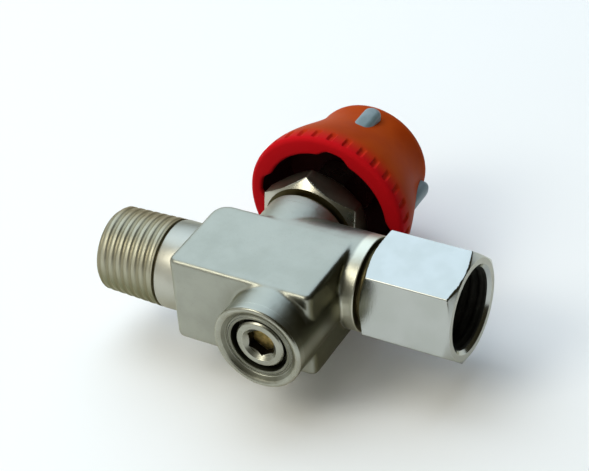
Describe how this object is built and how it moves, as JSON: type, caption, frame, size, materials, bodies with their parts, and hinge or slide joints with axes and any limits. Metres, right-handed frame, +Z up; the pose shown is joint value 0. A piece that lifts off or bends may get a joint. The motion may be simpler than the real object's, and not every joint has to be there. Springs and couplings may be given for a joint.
{
  "type": "gauge shut-off valve",
  "caption": "Small nickel-plated shut-off valve with a male taper thread, a swivel union nut, a hexagon-socket bleed screw and a bell-shaped red handwheel.",
  "frame": {"origin": "centre of the inlet thread's end face", "axes": "+X along the inlet from its end face towards the swivel nut, +Y towards the handwheel, +Z up, square to the body's flat top"},
  "size_m": [0.0547, 0.0501, 0.026],
  "materials": {
    "plated_forging": "satin nickel plating over a forged brass body",
    "bright_plating": "bright nickel plating over turned brass",
    "bleed_plating": "nickel plating, bare brass at the socket's bottom",
    "bare_brass": "turned, bare",
    "soft_copper": "annealed sealing ring",
    "stainless_steel": "turned stainless steel",
    "white_packing": "white fluoropolymer",
    "black_rubber": "matt",
    "red_plastic": "moulded, half gloss",
    "grey_plastic": "moulded, fine grain"
  },
  "bodies": {
    "valve": {"valve_body": "plated_forging", "seat_insert": "stainless_steel", "bonnet": "bright_plating", "bonnet_seal": "soft_copper", "backing_washer": "stainless_steel", "packing_lower": "white_packing", "packing_upper": "white_packing", "gland_ring": "bare_brass", "gland_nut": "bright_plating", "outlet_nipple": "plated_forging", "outlet_gasket": "white_packing", "bleed_insert": "plated_forging"},
    "cone": {"valve_cone": "stainless_steel"},
    "stem": {"spindle": "stainless_steel", "handwheel": "red_plastic", "handwheel_core": "grey_plastic", "handwheel_washer": "stainless_steel", "handwheel_screw": "stainless_steel", "handwheel_cap": "red_plastic"},
    "nut": {"union_nut": "bright_plating"},
    "bleed_lift": {"bleed_ball": "stainless_steel"},
    "bleed": {"bleed_screw": "bleed_plating", "bleed_seal": "black_rubber"}
  },
  "joints": [
    {"name": "spindle_rise", "type": "slide", "parent": "valve", "child": "cone", "axis": [0, 1, 0], "range_m": [0, 0.003]},
    {"name": "handwheel_turn", "type": "hinge", "parent": "cone", "child": "stem", "pos_m": [0.0245, 0.026, 0], "axis": [0, 1, 0], "range_deg": [0, 1080]},
    {"name": "nut_turn", "type": "hinge", "parent": "valve", "child": "nut", "pos_m": [0.0475, 0.0074, 0], "axis": [1, 0, 0], "continuous": true},
    {"name": "bleed_rise", "type": "slide", "parent": "valve", "child": "bleed_lift", "axis": [0, -1, 0], "range_m": [0, 0.002]},
    {"name": "bleed_turn", "type": "hinge", "parent": "bleed_lift", "child": "bleed", "pos_m": [0.0307, -0.009, 0], "axis": [0, -1, 0], "range_deg": [0, 720]}
  ],
  "couplings": [
    {"joint": "handwheel_turn", "follows": "spindle_rise", "rad_per_m": 6283.2},
    {"joint": "bleed_turn", "follows": "bleed_rise", "rad_per_m": 6283.2}
  ]
}
